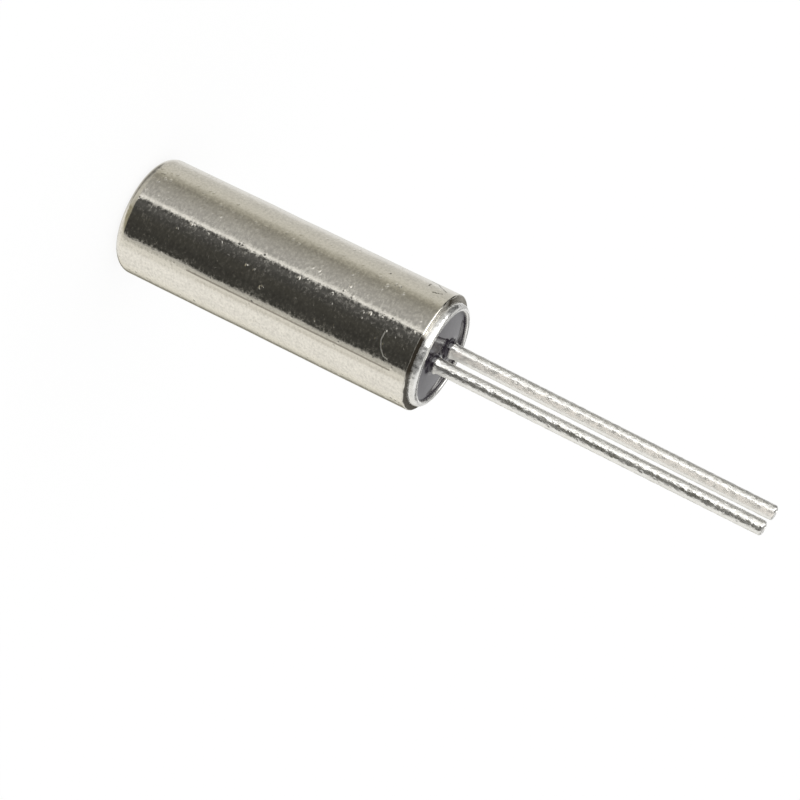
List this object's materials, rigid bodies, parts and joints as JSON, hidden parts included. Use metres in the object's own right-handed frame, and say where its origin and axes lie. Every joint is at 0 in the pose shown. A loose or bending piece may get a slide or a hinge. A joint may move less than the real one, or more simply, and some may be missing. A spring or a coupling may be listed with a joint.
{
  "type": "crystal oscillator",
  "caption": "Cylindrical quartz tuning-fork crystal in a drawn nickel-plated can, with a glass-sealed end and straight tinned wire leads.",
  "frame": {"origin": "centre of the flat outer face of the can's closed end, on which the part stands", "axes": "+Z along the can from its closed end to the leads, so the leads point up; the leads lie side by side along X, and the quartz fork lies on their +Y side"},
  "size_m": [0.003, 0.003, 0.0171],
  "materials": {
    "can_plating": "satin nickel plate with a fine orange-peel grain",
    "ring_plating": "satin tin plate",
    "seal_glass": "dark grey sealing glass, gloss",
    "tinned_wire": "hot-dipped tin, satin and slightly rippled",
    "quartz": "clear polished quartz",
    "gold_film": "polished gold film",
    "solder": "satin solder"
  },
  "bodies": {
    "root": {"can": "can_plating", "base_ring": "ring_plating", "glass_seal": "seal_glass", "lead_left": "tinned_wire", "lead_right": "tinned_wire", "quartz_fork": "quartz", "electrode_left": "gold_film", "electrode_right": "gold_film", "solder_left": "solder", "solder_right": "solder"}
  },
  "joints": []
}
